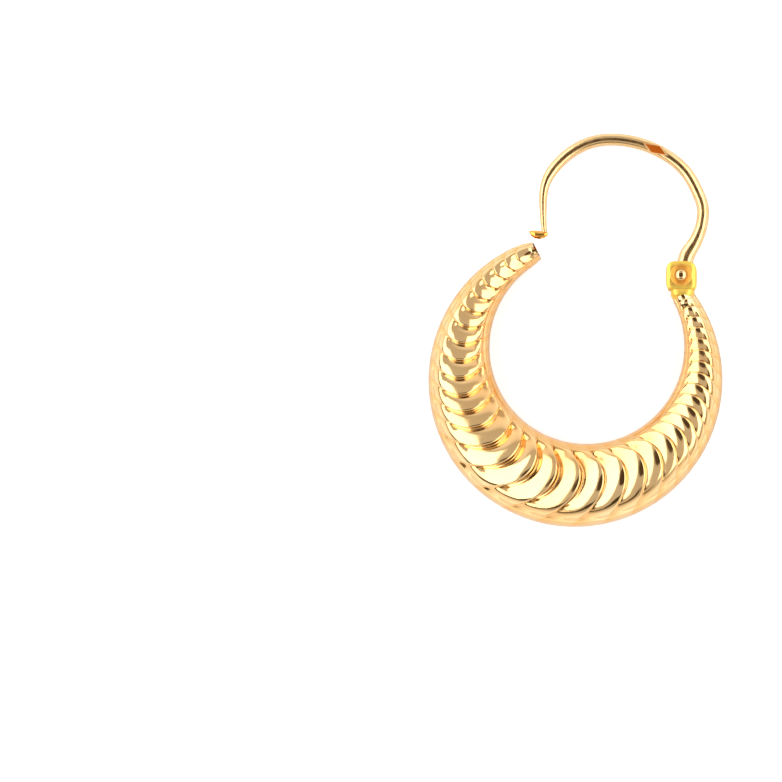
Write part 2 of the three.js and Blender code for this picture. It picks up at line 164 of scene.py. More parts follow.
# The hand polish: where the noise of the patches starts and ends, features a metre of the scratches and
# the dents, the dents' share of the height, and the height itself in metres
RUBBED_FROM = 0.38
RUBBED_TO = 0.68
SCRATCHES = 9000.0
SCRATCH_STRETCH = (1.0, 0.16, 1.0)
SCRATCH_TURN = (0.3, 0.5, 0.7)
DENTS = 900.0
DENT_SHARE = 0.75
POLISH_HEIGHT = 0.00002


def number(name, description, default):
    return FloatProperty(name=name, description=description, default=default)


def millimetres(name, description, default):
    return number(name, description + ", mm", default)


def colour(name, description, default):
    return FloatVectorProperty(name=name, description=description, subtype="COLOR", default=default)


class HoopSizes(bpy.types.PropertyGroup):
    outer_diameter: millimetres("Outer diameter", "Across the hoop", 22.0)
    inner_diameter: millimetres("Inner diameter", "Across the opening", 14.66)
    belly_width: millimetres("Belly width", "Widest part of the crescent", 6.32)
    belly_depth: millimetres("Belly depth", "Front to back at the belly", 5.0)
    end_depth: millimetres("End depth", "Front to back at both ends", 1.9)
    tip_angle: number("Tip angle", "From the belly to the open tip", 133.7)
    hinge_angle: number("Hinge angle", "From the belly to the hinge end", 137.0)
    sheet: millimetres("Sheet", "Thickness of the pressed sheet", 0.25)
    rings: IntProperty(name="Rings", description="Steps round the hoop", default=1000)
    sides: IntProperty(name="Sides", description="Steps round the section", default=94)
    tip_bevel: millimetres("Tip bevel", "Front of the mouth stands back", 0.17)
    tip_taper: number("Tip taper", "Narrowing at the mouth as a share", 0.14)


class RibSizes(bpy.types.PropertyGroup):
    bow: number("Bow", "More or less bend in every groove", 1.0)
    sweep: number("Sweep", "Extra lag of the outer ends, as a share of the width", 0.1)
    depth: number("Depth", "Higher or lower ribs all round", 1.0)
    crest: number("Crest", "Where a rib is highest, as a share of its pitch", 0.87)
    roundness: number("Roundness", "How full each rib is", 2.0)
    valley: number("Valley", "Softness of the groove as a share of half a rib", 0.1)
    inner_band: millimetres("Inner band", "Smooth band inside the ribs", 0.45)
    outer_band: millimetres("Outer band", "Side zone outside the ribs", 0.9)
    band_share: number("Band share", "Most of the width the side zone takes", 0.25)
    side_share: number("Side share", "Groove depth in the side zone", 0.32)
    flange: millimetres("Flange", "Flat edge outside the side zone", 0.33)
    flange_rise: millimetres("Flange rise", "How proud the flange stands", 0.045)
    first_phase: number("First groove", "Pitches from the belly to a groove", -0.48)
    plain_end: number("Plain end", "Degrees over which ribs fade at the tip", 6.0)
    plain_hinge_end: number("Plain hinge end", "Degrees over which ribs fade at the hinge", 10.0)


class HingeSizes(bpy.types.PropertyGroup):
    turn: number("Turn", "Degrees the box stands off the hoop's own axis", 18.9)
    across: millimetres("Across", "Arm's end beside the rivet", 0.09)
    half_width: millimetres("Half width", "Cheek from the rivet to its side", 1.13)
    crown: millimetres("Crown", "Cheek from the rivet to its top", 1.06)
    cheek: millimetres("Cheek", "Cheek thickness", 0.42)
    floor: millimetres("Floor", "Thickness between the cheeks' feet", 0.22)
    collar: millimetres("Collar", "Length of the soldered collar", 0.36)
    collar_width: millimetres("Collar width", "Width of the collar", 1.74)
    dish: millimetres("Dish", "Radius of the dish in a cheek", 0.79)
    dish_floor: millimetres("Dish floor", "Radius of the dish's floor", 0.52)
    dish_depth: millimetres("Dish depth", "Depth of the dish", 0.2)
    rivet: millimetres("Rivet", "Radius of the rivet's shank", 0.25)
    head: millimetres("Head", "Radius of the rivet's head", 0.44)
    head_rise: millimetres("Head rise", "Height of the rivet's head", 0.26)
    clearance: millimetres("Clearance", "Gap round the rivet", 0.05)
    knuckle: millimetres("Knuckle", "Radius of the wire's knuckle", 0.82)
    knuckle_thickness: millimetres("Knuckle thickness", "Knuckle", 0.9)
    running_gap: millimetres("Running gap", "Knuckle to cheek", 0.06)
    floor_gap: millimetres("Floor gap", "Knuckle to floor", 0.1)


class WireSizes(bpy.types.PropertyGroup):
    rise: millimetres("Rise", "Crown above the rivet and foot", 8.6)
    width: millimetres("Width", "Seen from the front", 0.9)
    thickness: millimetres("Thickness", "Front to back", 0.84)
    foot_length: millimetres("Foot length", "Length of the catch", 1.22)
    foot_height: millimetres("Foot height", "Height of the catch", 0.62)
    foot_thickness: millimetres("Foot thickness", "Catch, front to back", 0.56)
    foot_turn: number("Foot turn", "Degrees from the arm's direction", 30.0)
    catch_gap: millimetres("Catch gap", "Clearance round the catch", 0.14)
    open_at_rest: number("Open at rest", "Degrees the wire stands open", 6.0)
    lozenge_at: number("Lozenge place", "Share of the span", 0.44)
    lozenge_length: millimetres("Lozenge length", "Bare lozenge", 2.2)
    lozenge_height: millimetres("Lozenge height", "Bare lozenge", 0.86)
    lozenge_depth: millimetres("Lozenge depth", "Bare lozenge", 0.2)
    rings: IntProperty(name="Rings", description="Steps along the wire", default=320)
    sides: IntProperty(name="Sides", description="Steps round the section", default=40)


class GoldFinish(bpy.types.PropertyGroup):
    colour: colour("Gold", "Yellow gold", (0.94, 0.66, 0.32))
    warm_patch_and_painted_reflection: colour("Warm gold", "Redder gold in patches", (0.93, 0.60, 0.26))
    # Painted reflection: the deeper orange where gold faces gold, standing in for light thrown between gold
    # surfaces
    painted_reflection_amber: colour("Amber", "Where gold faces gold", (0.93, 0.46, 0.12))
    solder: colour("Solder gold", "Yellower hinge box", (1.0, 0.66, 0.12))
    # The catch's own deeper gold, also used as painted reflection in the hinge box's dishes
    foot: colour("Foot gold", "Deeper gold of the catch", (0.95, 0.5, 0.1))
    inlay: colour("Lozenge", "Floor of the bare lozenge", (0.72, 0.16, 0.015))
    roughness: number("Roughness", "Of the polished metal", 0.07)
    worn: number("Worn roughness", "Where it is rubbed", 0.16)


class StudioSizes(bpy.types.PropertyGroup):
    photo_side: number("Picture side", "Pixels", 782.0)
    hoop_px: FloatVectorProperty(name="Hoop centre", size=2, description="Pixels", default=(575.2, 380.0))
    mm_per_px: number("Scale", "Millimetres a pixel", 0.07497)
    distance: millimetres("Distance", "Camera above the table", 500.0)
    roll: number("Roll", "Degrees the picture is turned", 18.9)
    lean: number("Lean", "Degrees the camera stands to the right", 6.0)


def read_table(rows, key, value, at):
    """The value at a place between two rows of a short table."""
    if at <= rows[0][key]:
        return rows[0][value]
    for low, high in zip(rows, rows[1:]):
        if at < high[key]:
            share = (at - low[key]) / (high[key] - low[key])
            return low[value] + share * (high[value] - low[value])
    return rows[-1][value]


def smoothstep(x, low, high):
    share = min(max((x - low) / (high - low), 0.0), 1.0)
    return share * share * (3 - 2 * share)


def beyond(edge, band, opening):
    """0 on a band beside the rim, and 1 from some of its widths further in."""
    return smoothstep(edge, band, band * opening)


def round_square(around, power):
    """A place on a loop that is a circle at a power of 1, and squarer below it."""
    x = math.cos(around)
    y = math.sin(around)
    return math.copysign(abs(x) ** power, x), math.copysign(abs(y) ** power, y)


def direction(angle):
    """Unit vector at an angle from the belly towards the hinge."""
    a = math.radians(angle - 90)
    return Vector((math.cos(a), math.sin(a)))


class Hoop:
    """The crescent between two circles, and everything whose place follows from its ends. In millimetres."""

    phase_step = 0.25
    phase_reach = 150.0

    # How far past its own width a band takes to open, and the flange's height and fine line
    inner_opening = 2.0
    outer_opening = 1.45
    flange_opening = 1.6
    flange_share = 0.6
    flange_edge = 0.8
    line_place = 1.12
    line_width = 0.2

    def __init__(self, scene):
        self.hoop = scene.earring_hoop
        self.ribs = scene.earring_ribs
        self.hinge = scene.earring_hinge
        self.wire = scene.earring_wire
        self.outer = self.hoop.outer_diameter / 2
        self.inner = self.hoop.inner_diameter / 2
        self.centre_y = self.inner + self.hoop.belly_width - self.outer
        self.end_width = (self.width(-self.hoop.tip_angle) + self.width(self.hoop.hinge_angle)) / 2
        self.count_phases()
        self.place_hinge()
        self.place_catch()

    def width(self, angle):
        d = direction(angle)
        shift = self.centre_y * d.y
        return -shift + math.sqrt(self.outer ** 2 - self.centre_y ** 2 + shift ** 2) - self.inner

    def depth(self, angle):
        share = (self.width(angle) - self.end_width) / (self.hoop.belly_width - self.end_width)
        return self.hoop.end_depth + (self.hoop.belly_depth - self.hoop.end_depth) * max(share, 0)

    def fade(self, angle):
        at_tip = smoothstep(angle + self.hoop.tip_angle, 0, self.ribs.plain_end)
        return min(at_tip, smoothstep(self.hoop.hinge_angle - angle, 0, self.ribs.plain_hinge_end))

    def count_phases(self):
        """Ribs counted from the belly at steps of the angle, both ways."""
        self.angles = []
        self.phases = []
        steps = int(self.phase_reach / self.phase_step)
        for sign in (-1, 1):
            total = 0.0
            row = []
            for i in range(steps):
                middle = sign * (i + 0.5) * self.phase_step
                total += self.phase_step / read_table(RIB_PITCH, "at", "pitch", middle)
                row.append((sign * (i + 1) * self.phase_step, sign * total))
            if sign < 0:
                row.reverse()
                row.append((0.0, 0.0))
            self.angles += [angle for angle, phase in row]
            self.phases += [phase for angle, phase in row]

    def phase(self, angle):
        i = bisect.bisect_right(self.angles, angle) - 1
        share = (angle - self.angles[i]) / self.phase_step
        return self.phases[i] + share * (self.phases[i + 1] - self.phases[i])

    def angle_of(self, phase):
        i = bisect.bisect_right(self.phases, phase) - 1
        share = (phase - self.phases[i]) / (self.phases[i + 1] - self.phases[i])
        return self.angles[i] + share * self.phase_step

    def fall(self, phase):
        """How far the skin has fallen from a rib's crest, 0 to 1 in the groove."""
        ribs = self.ribs
        lobe = (phase - ribs.first_phase) % 1.0
        if lobe < ribs.crest:
            from_groove = lobe / ribs.crest
        else:
            from_groove = (1 - lobe) / (1 - ribs.crest)
        soft = math.hypot(from_groove, ribs.valley) - ribs.valley
        return max(1 - soft, 0.0) ** ribs.roundness

    def band_size(self, width):
        """The bands keep their own widths where the hoop is wide, and shrink with it towards the ends."""
        return min(self.ribs.band_share * width / self.ribs.outer_band, 1.0)

    def window(self, across, width):
        """How much of its depth a groove keeps: all in the middle, a little in the outer side zone."""
        ribs = self.ribs
        size = self.band_size(width)
        edge = (1 - abs(across)) / 2 * width
        if across < 0:
            return beyond(edge, ribs.inner_band * size, self.inner_opening)
        full = beyond(edge, ribs.outer_band * size, self.outer_opening)
        off_flange = beyond(edge, ribs.flange * size, self.flange_opening)
        return ribs.side_share * off_flange + (1 - ribs.side_share) * full

    def rim(self, across, width):
        """A flat flange stands a little proud of the side zone, with a fine line beside it."""
        line = self.ribs.flange * self.band_size(width)
        edge = (1 - abs(across)) / 2 * width
        off = (edge - line * self.line_place) / (line * self.line_width)
        proud = self.flange_share * (1 - smoothstep(edge, line * self.flange_edge, line))
        return self.ribs.flange_rise * (proud - math.exp(-off * off))

    def skin(self, angle, around, inset):
        """A point of the skin. around is 0 on the inner rim, a quarter turn on the front crest.

        A point that a groove's bow moves along the hoop takes its width and depth from the place it lands on.
        """
        across = -math.cos(around)
        up = math.sin(around)
        start = self.width(angle)
        fade = self.fade(angle)
        near_tip = 1 - smoothstep(angle + self.hoop.tip_angle, 0, self.ribs.plain_end)
        shift = self.shift(angle, across, start) * fade + self.hoop.tip_bevel * near_tip * max(up, 0)
        turned = angle + math.degrees(shift / (self.inner + start / 2 * (1 + across)))
        width = self.width(turned)
        half_width = width / 2 * (1 - self.hoop.tip_taper * near_tip) - inset
        half_depth = self.depth(turned) / 2 - inset
        middle = self.inner + width / 2
        pitch = math.radians(read_table(RIB_PITCH, "at", "pitch", angle)) * middle
        height = -self.ribs.depth * read_table(RIB_SHAPE, "at", "height", angle) * pitch * fade
        height *= self.fall(self.phase(angle)) * self.window(across, width)
        if inset == 0:
            height += self.rim(across, width)
        normal = Vector((across / half_width, up / half_depth)).normalized()
        z = up * half_depth + normal.y * height
        radius = middle + across * half_width + normal.x * height
        d = direction(turned)
        return Vector((d.x * radius, self.centre_y + d.y * radius, z))

    def shift(self, angle, across, width):
        """How far a groove lies towards the hinge at a place across the band."""
        bow = self.ribs.bow * read_table(RIB_SHAPE, "at", "bow", angle)
        lag = read_table(RIB_SHAPE, "at", "lag", angle) * across / 2 + self.ribs.sweep * max(across, 0) ** 4
        return width * (bow * (1 - across * across) - lag)

    def place_hinge(self):
        hinge = self.hinge
        turn = math.radians(hinge.turn)
        self.box_up = Vector((-math.sin(turn), math.cos(turn)))
        self.box_right = Vector((self.box_up.y, -self.box_up.x))
        self.floor_top = -(hinge.knuckle + hinge.floor_gap)
        self.box_bottom = self.floor_top - hinge.floor
        self.collar_bottom = self.box_bottom - hinge.collar
        end = direction(self.hoop.hinge_angle) * (self.inner + self.width(self.hoop.hinge_angle) / 2)
        end.y += self.centre_y
        self.pin = end - self.box_up * self.collar_bottom - self.box_right * hinge.across
        self.slot_half = hinge.knuckle_thickness / 2 + hinge.running_gap
        self.box_half = self.slot_half + hinge.cheek

    def place_catch(self):
        wire = self.wire
        self.tip_out = direction(-self.hoop.tip_angle)
        self.tip_width = self.width(-self.hoop.tip_angle)
        self.tip_normal = Vector((self.tip_out.y, -self.tip_out.x))
        self.tip = self.tip_out * (self.inner + self.tip_width / 2)
        self.tip.y += self.centre_y
        self.hook_width = wire.width * WIRE_ROWS[-1]["width"]
        self.hook = self.tip + self.tip_normal * (self.hook_width / 2 + wire.catch_gap)
        span = self.hook - self.pin
        self.span = span.length
        self.along = span.normalized()
        self.out = Vector((self.along.y, -self.along.x))

    def in_box(self, across, up, z=0.0):
        p = self.pin + self.box_right * across + self.box_up * up
        return Vector((p.x, p.y, z))

    def to_world(self):
        """From the hoop's own millimetres to the row frame."""
        turn = Vector((0, 0, 1)).rotation_difference(FACE_NORMAL)
        pin = Vector((self.pin.x, self.pin.y, 0))
        return (Matrix.Translation(HINGE_PIN) @ turn.to_matrix().to_4x4()
                @ Matrix.Scale(MM, 4) @ Matrix.Translation(-pin))


def rolled_sheet(bm, sides, steps):
    """A sheet to be rolled into a tube. Returns its vertices with their places along and around the tube."""
    verts = bmesh.ops.create_grid(bm, x_segments=steps, y_segments=sides, size=1)["verts"]
    return [(v, (v.co.x + 1) / 2, (v.co.y + 1) * math.pi) for v in verts]


def close_seam(bm):
    bmesh.ops.remove_doubles(bm, verts=bm.verts, dist=1e-5)


def close_ends(bm):
    close_seam(bm)
    loose = [edge for edge in bm.edges if edge.is_boundary]
    if loose:
        bmesh.ops.holes_fill(bm, edges=loose)


def tidy(bm):
    close_seam(bm)
    bmesh.ops.recalc_face_normals(bm, faces=bm.faces)


def new_object(name, bm):
    mesh = bpy.data.meshes.new(name)
    bm.to_mesh(mesh)
    bm.free()
    piece = bpy.data.objects.new(name, mesh)
    bpy.context.scene.collection.objects.link(piece)
    return piece


def combine(piece, other, operation):
    """Joins or cuts piece with other, which is then deleted."""
    change = piece.modifiers.new("cut", "BOOLEAN")
    change.object = other
    change.operation = operation
    change.solver = "MANIFOLD"
    bake_modifiers(piece)
    old = other.data
    bpy.data.objects.remove(other)
    bpy.data.meshes.remove(old)
    return piece


def bake_modifiers(piece):
    bpy.context.view_layer.update()
    graph = bpy.context.evaluated_depsgraph_get()
    mesh = bpy.data.meshes.new_from_object(piece.evaluated_get(graph))
    old = piece.data
    piece.modifiers.clear()
    piece.data = mesh
    bpy.data.meshes.remove(old)


def finish_piece(piece, hoop, body, material, node, sharp=38):
    """Brings a piece from the hoop's millimetres to its place, and says what it is to the frame."""
    mesh = piece.data
    mesh.transform(hoop.to_world())
    mesh.shade_smooth()
    mesh.set_sharp_from_angle(angle=math.radians(sharp))
    mesh.materials.clear()
    mesh.materials.append(material)
    mesh.name = piece.name
    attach(piece, body)
    if node:
        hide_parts(node)
    return piece


def plate(name, points, low, high):
    """A flat outline raised between two heights."""
    bm = bmesh.new()
    verts = [bm.verts.new((p.x, p.y, low)) for p in points]
    face = bmesh.ops.contextual_create(bm, geom=verts)["faces"]
    raised = bmesh.ops.extrude_face_region(bm, geom=face)["geom"]
    lifted = [v for v in raised if isinstance(v, bmesh.types.BMVert)]
    bmesh.ops.translate(bm, verts=lifted, vec=(0, 0, high - low))
    tidy(bm)
    return new_object(name, bm)


def spun(profile, steps, closed=False):
    """A profile of radius and height pairs spun round the Z axis."""
    bm = bmesh.new()
    verts = [bm.verts.new((r, 0, z)) for r, z in profile]
    pairs = list(zip(verts, verts[1:]))
    if closed:
        pairs.append((verts[-1], verts[0]))
    edges = [bm.edges.new(pair) for pair in pairs]
    bmesh.ops.spin(bm, geom=verts + edges, cent=(0, 0, 0), axis=(0, 0, 1), angle=2 * math.pi,
                   steps=steps, use_merge=True)
    return bm


def spun_about_pin(name, hoop, profile):
    bm = spun(profile, 96)
    tidy(bm)
    bmesh.ops.translate(bm, verts=bm.verts, vec=(hoop.pin.x, hoop.pin.y, 0))
    return new_object(name, bm)


def feed(link, socket, value):
    """Links an output to a socket, or sets a plain number or colour on it."""
    if isinstance(value, bpy.types.NodeSocket):
        link(value, socket)
    elif isinstance(value, (int, float)):
        socket.default_value = value
    else:
        socket.default_value = (*value, 1)


def mixed(nodes, link, kind, factor, first, second):
    mix = nodes.new("ShaderNodeMix")
    mix.data_type = kind
    feed(link, mix.inputs["Factor"], factor)
    feed(link, mix.inputs["A"], first)
    feed(link, mix.inputs["B"], second)
    return mix.outputs["Result"]


def noise(nodes, link, place, scale, detail):
    texture = nodes.new("ShaderNodeTexNoise")
    texture.inputs["Detail"].default_value = detail
    link(place, texture.inputs["Vector"])
    feed(link, texture.inputs["Scale"], scale)
    return texture.outputs["Fac"]


def polish_group():
    """Fine scratches, rubbed patches and a little redder gold, with named inputs, shared by the gold."""
    group = bpy.data.node_groups.new("hand polish", "ShaderNodeTree")
    for way, kind, names in (("INPUT", "Color", ("Gold", "Warm gold")),
                             ("INPUT", "Float", ("Roughness", "Worn roughness", "Patch size")),
                             ("OUTPUT", "Color", ("Colour",)),
                             ("OUTPUT", "Float", ("Roughness", "Height"))):
        for name in names:
            group.interface.new_socket(name, in_out=way, socket_type="NodeSocket" + kind)
    nodes = group.nodes
    link = group.links.new
    take = nodes.new("NodeGroupInput").outputs
    give = nodes.new("NodeGroupOutput").inputs
    place = nodes.new("ShaderNodeTexCoord").outputs["Object"]
    spread = nodes.new("ShaderNodeMapRange")
    spread.inputs["From Min"].default_value = RUBBED_FROM
    spread.inputs["From Max"].default_value = RUBBED_TO
    link(noise(nodes, link, place, take["Patch size"], 3.0), spread.inputs["Value"])
    rubbed = spread.outputs["Result"]
    stretch = nodes.new("ShaderNodeMapping")
    stretch.inputs["Scale"].default_value = SCRATCH_STRETCH
    stretch.inputs["Rotation"].default_value = SCRATCH_TURN
    link(place, stretch.inputs["Vector"])
    scratches = noise(nodes, link, stretch.outputs["Vector"], SCRATCHES, 2.0)
    dents = noise(nodes, link, place, DENTS, 1.0)
    link(mixed(nodes, link, "RGBA", rubbed, take["Gold"], take["Warm gold"]), give["Colour"])
    link(mixed(nodes, link, "FLOAT", rubbed, take["Roughness"], take["Worn roughness"]), give["Roughness"])
    link(mixed(nodes, link, "FLOAT", DENT_SHARE, scratches, dents), give["Height"])
    return group


def gold_material(name, finish, patch_size, bump, tone=None, deep=None, extra_roughness=0.0):
    """Polished gold. Colour and roughness wander a little over the surface.

    Where a deep colour is given, the piece's own attribute mixes it in as painted reflection of gold in gold,
    where gold faces gold.
    """
    material = bpy.data.materials.new(name)
    material.use_nodes = True
    nodes = material.node_tree.nodes
    link = material.node_tree.links.new
    polish = nodes.new("ShaderNodeGroup")
    polish.node_tree = bpy.data.node_groups.get("hand polish") or polish_group()
    feed(link, polish.inputs["Gold"], tone or finish.colour)
    feed(link, polish.inputs["Warm gold"], tone or finish.warm_patch_and_painted_reflection)
    feed(link, polish.inputs["Roughness"], finish.roughness + extra_roughness)
    feed(link, polish.inputs["Worn roughness"], finish.worn + extra_roughness)
    feed(link, polish.inputs["Patch size"], patch_size)
    colour = polish.outputs["Colour"]
    if deep:
        # Painted reflection: the piece's attribute mixes in the deep colour where gold faces gold
        painted_reflection = nodes.new("ShaderNodeAttribute")
        painted_reflection.attribute_name = "painted_reflection"
        colour = mixed(nodes, link, "RGBA", painted_reflection.outputs["Fac"], colour, deep)
    height = nodes.new("ShaderNodeBump")
    height.inputs["Strength"].default_value = bump
    height.inputs["Distance"].default_value = POLISH_HEIGHT
    link(polish.outputs["Height"], height.inputs["Height"])
    shader = nodes["Principled BSDF"].inputs
    shader["Metallic"].default_value = 1.0
    link(colour, shader["Base Color"])
    link(polish.outputs["Roughness"], shader["Roughness"])
    link(height.outputs["Normal"], shader["Normal"])
    return material


class EARRING_OT_hoop_shell(bpy.types.Operator):
    """Model the hollow crescent with its ribs, its open tip and the notch for the catch"""

    bl_idname = "earring.hoop_shell"
    bl_label = "Hoop shell"

    mouth_depth = 13.0
    mouth_rings = 5
    rim_density = 0.35
    groove_density = 0.5

    # How strongly painted reflection of gold in gold deepens the colour on the inner side, in its grooves,
    # and in grooves elsewhere
    inner_painted_reflection = 0.25
    inner_groove_painted_reflection = 0.4
    side_groove_painted_reflection = 0.6
    groove_painted_reflection = 0.1

    # The notch, in shares of its length and in gaps of the catch
    notch_gaps = 3
    notch_ramp = 0.6

    def painted_reflection(self, hoop, phase, angle, around):
        """Painted reflection of gold in gold, where gold faces gold: towards the inside of the hoop, in the
        grooves, and along the grooves of the side zone.
        """
        across = -math.cos(around)
        keep = hoop.window(across, hoop.width(angle))
        fall = hoop.fall(phase) * hoop.fade(angle)
        inner = smoothstep(-across, 0.15, 0.8)
        side = smoothstep(across, 0.2, 0.5) * (1 - keep)
        warm_patch_and_painted_reflection = self.groove_painted_reflection * fall * keep
        warm_patch_and_painted_reflection += inner * (self.inner_painted_reflection + self.inner_groove_painted_reflection * fall)
        warm_patch_and_painted_reflection += self.side_groove_painted_reflection * side * fall
        return min(warm_patch_and_painted_reflection, 1.0)

    def inside(self, along):
        """0 at both ends of the hoop, where the last ring has to stay, and 1 between."""
        return smoothstep(min(along, 1 - along), 0, 0.01)

    def execute(self, context):
        hoop = Hoop(context.scene)
        piece = self.crescent(hoop)
        combine(piece, self.notch(hoop), "DIFFERENCE")
        finish = context.scene.earring_gold
        # The shell gold mixes in the amber as painted reflection of gold in gold
        gold = gold_material("shell gold", finish, 260.0, 0.25, deep=finish.painted_reflection_amber)
        finish_piece(piece, hoop, "hoop", gold, "hoop_body", sharp=50)
        return {"FINISHED"}

    def crescent(self, hoop):
        bm = bmesh.new()
        turn = bm.verts.layers.float.new("around")
        warm_patch_and_painted_reflection = bm.verts.layers.float.new("painted_reflection")
        first = hoop.phase(-hoop.hoop.tip_angle)
        last = hoop.phase(hoop.hoop.hinge_angle)
        for v, along, around in rolled_sheet(bm, hoop.hoop.sides, hoop.hoop.rings):
            around -= self.rim_density * math.sin(2 * around) / 2
            v[turn] = around
            phase = first + along * (last - first)
            lobe = math.tau * (phase - hoop.ribs.first_phase)
            phase -= self.groove_density * math.sin(lobe) / math.tau * self.inside(along)
            angle = hoop.angle_of(phase)
            v.co = hoop.skin(angle, around, 0)
            # Painted reflection of gold in gold, kept on each point for the shell gold to mix in
            v[warm_patch_and_painted_reflection] = self.painted_reflection(hoop, phase, angle, around)
        close_seam(bm)
        tip = Vector((hoop.tip.x, hoop.tip.y, 0))
        rim = [e for e in bm.edges if e.is_boundary and (e.verts[0].co - tip).length < hoop.tip_width]
        for ring in range(self.mouth_rings + 1):
            raised = bmesh.ops.extrude_edge_only(bm, edges=rim)["geom"]
            rim = [e for e in raised if isinstance(e, bmesh.types.BMEdge) and e.is_boundary]
            angle = -hoop.hoop.tip_angle + self.mouth_depth * ring / self.mouth_rings
            for v in raised:
                if isinstance(v, bmesh.types.BMVert):
                    v.co = hoop.skin(angle, v[turn], hoop.hoop.sheet)
        close_ends(bm)
        tidy(bm)
        return new_object("hoop_shell", bm)

    def notch(self, hoop):
        """The cut that the foot catches in. Its floor lies towards the inside, with a ramp at its end."""
        wire = hoop.wire
        side = wire.foot_thickness / 2 + wire.catch_gap
        reach = wire.foot_length * math.cos(math.radians(wire.foot_turn)) + wire.catch_gap * self.notch_gaps
        low = -hoop.hook_width / 2 - wire.catch_gap
        high = hoop.tip_width * 2
        before = -1
        corners = [(before, low), (reach * self.notch_ramp, low), (reach, low + wire.foot_height / 2),
                   (reach, high), (before, high)]
        points = [hoop.tip - hoop.tip_normal * x + hoop.tip_out * y for x, y in corners]
        return plate("notch", points, -side, side)


class EARRING_OT_hinge_box(bpy.types.Operator):
    """Model the hinge box: two dished cheeks, the floor between them and the soldered collar"""

    bl_idname = "earring.hinge_box"
    bl_label = "Hinge box"

    # The cheek is turned round first and squared after, outside a radius
    turned_radius = 1.4
    squared_from = 1
    crown_fullness = 3.7
    foot_fullness = 5.0

    # The dish's foot and lip, outwards, and the rounded edges, inwards from the cheek's edge. The second of
    # each pair is the height above the dish's floor, the depth from the face, or the height above the back.
    dish_foot = [(0, 0), (0.05, 0.01)]
    dish_lip = [(-0.06, 0.035), (-0.02, 0.008), (0.03, 0)]
    front_edge = [(0.3, 0.016), (0.16, 0.04), (0.08, 0.07), (0.03, 0.11), (0.006, 0.16), (0, 0.21)]
    back_edge = [(0, 0.06), (0.02, 0.02), (0.06, 0)]

    # The floor: in from the cheeks' sides, up from their foot, and how deep it bites into them
    floor_inset = 0.16
    floor_lift = 0.02
    floor_bite = 0.1

    def execute(self, context):
        hoop = Hoop(context.scene)
        piece = self.cheek(hoop, 1)
        for other in (self.cheek(hoop, -1), self.floor(hoop), self.collar(hoop)):
            combine(piece, other, "UNION")
        piece.name = "hinge_box"
        finish = context.scene.earring_gold
        # The cheeks' dishes take the catch's deeper gold as painted reflection of gold in gold
        gold = gold_material("box gold", finish, 420.0, 0.5, tone=finish.solder, deep=finish.foot,
                             extra_roughness=0.26)
        finish_piece(piece, hoop, "hoop", gold, None, sharp=40)
        return {"FINISHED"}

    def reach(self, hoop, turn):
        """From the rivet to the cheek's edge: a square with full corners, a little arched on top."""
        x = math.cos(turn) / hoop.hinge.half_width
        up = math.sin(turn)
        y = up / hoop.hinge.crown if up > 0 else up / -hoop.box_bottom
        fullness = self.crown_fullness if up > 0 else self.foot_fullness
        return (abs(x) ** fullness + abs(y) ** fullness) ** (-1 / fullness)

    def cheek(self, hoop, side):
        hinge = hoop.hinge
        hole = hinge.rivet + hinge.clearance
        face = hoop.box_half
        back = hoop.slot_half
        seat = face - hinge.dish_depth
        edge = self.turned_radius
        profile = [(hole, back), (hole, seat)]
        profile += [(hinge.dish_floor + out, seat + up) for out, up in self.dish_foot]
        profile += [(hinge.dish + out, face - down) for out, down in self.dish_lip]
        profile += [(edge - inward, face - down) for inward, down in self.front_edge]
        profile += [(edge - inward, back + up) for inward, up in self.back_edge]
        bm = spun(profile, 128, closed=True)
        warm_patch_and_painted_reflection = bm.verts.layers.float.new("painted_reflection")
        for v in bm.verts:
            radius = math.hypot(v.co.x, v.co.y)
            turn = math.atan2(v.co.y, v.co.x)
            # Painted reflection: 1 in the dish, fading out just past its lip, where gold faces gold
            v[warm_patch_and_painted_reflection] = 1 - smoothstep(radius, hinge.dish - 0.1, hinge.dish + 0.3)
            if radius > self.squared_from:
                radius += self.reach(hoop, turn) - edge
            v.co = hoop.in_box(math.cos(turn) * radius, math.sin(turn) * radius, v.co.z * side)
        tidy(bm)
        return new_object("cheek", bm)

    def floor(self, hoop):
        half = hoop.hinge.half_width - self.floor_inset
        low = hoop.box_bottom + self.floor_lift
        deep = hoop.slot_half + self.floor_bite
        corners = [(-half, low), (half, low), (half, hoop.floor_top), (-half, hoop.floor_top)]
        points = [hoop.in_box(x, y).xy for x, y in corners]
        return plate("floor", points, -deep, deep)

    def collar(self, hoop):
        """From the rounded end of the arm up to the square foot of the box, with a soldered bead."""
        hinge = hoop.hinge
        half = hinge.collar_width / 2
        arm = hoop.collar_bottom
        box = hoop.box_bottom
        rows = table(
            "along up wide deep square",
            (0.0, arm - hinge.collar * 1.2, 0.7 * half, 0.68, 2.2),
            (0.35, arm - 0.12, 0.95 * half, 0.88, 2.6),
            (0.5, arm + 0.04, 1.02 * half, 0.94, 3.2),
            (0.65, box - 0.1, half, 0.92, 3.6),
            (0.8, box, 1.02 * half, 0.88, 4.0),
            (1.0, box + 0.14, 1.02 * half, 0.84, 4.0),
        )
        bm = bmesh.new()
        for v, along, around in rolled_sheet(bm, 64, 24):
            up, wide, deep, square = (read_table(rows, "along", key, along)
                                      for key in ("up", "wide", "deep", "square"))
            x, y = round_square(around, 2 / square)
            v.co = hoop.in_box(hinge.across + x * wide, up, y * deep)
        close_ends(bm)
        tidy(bm)
        return new_object("collar", bm)


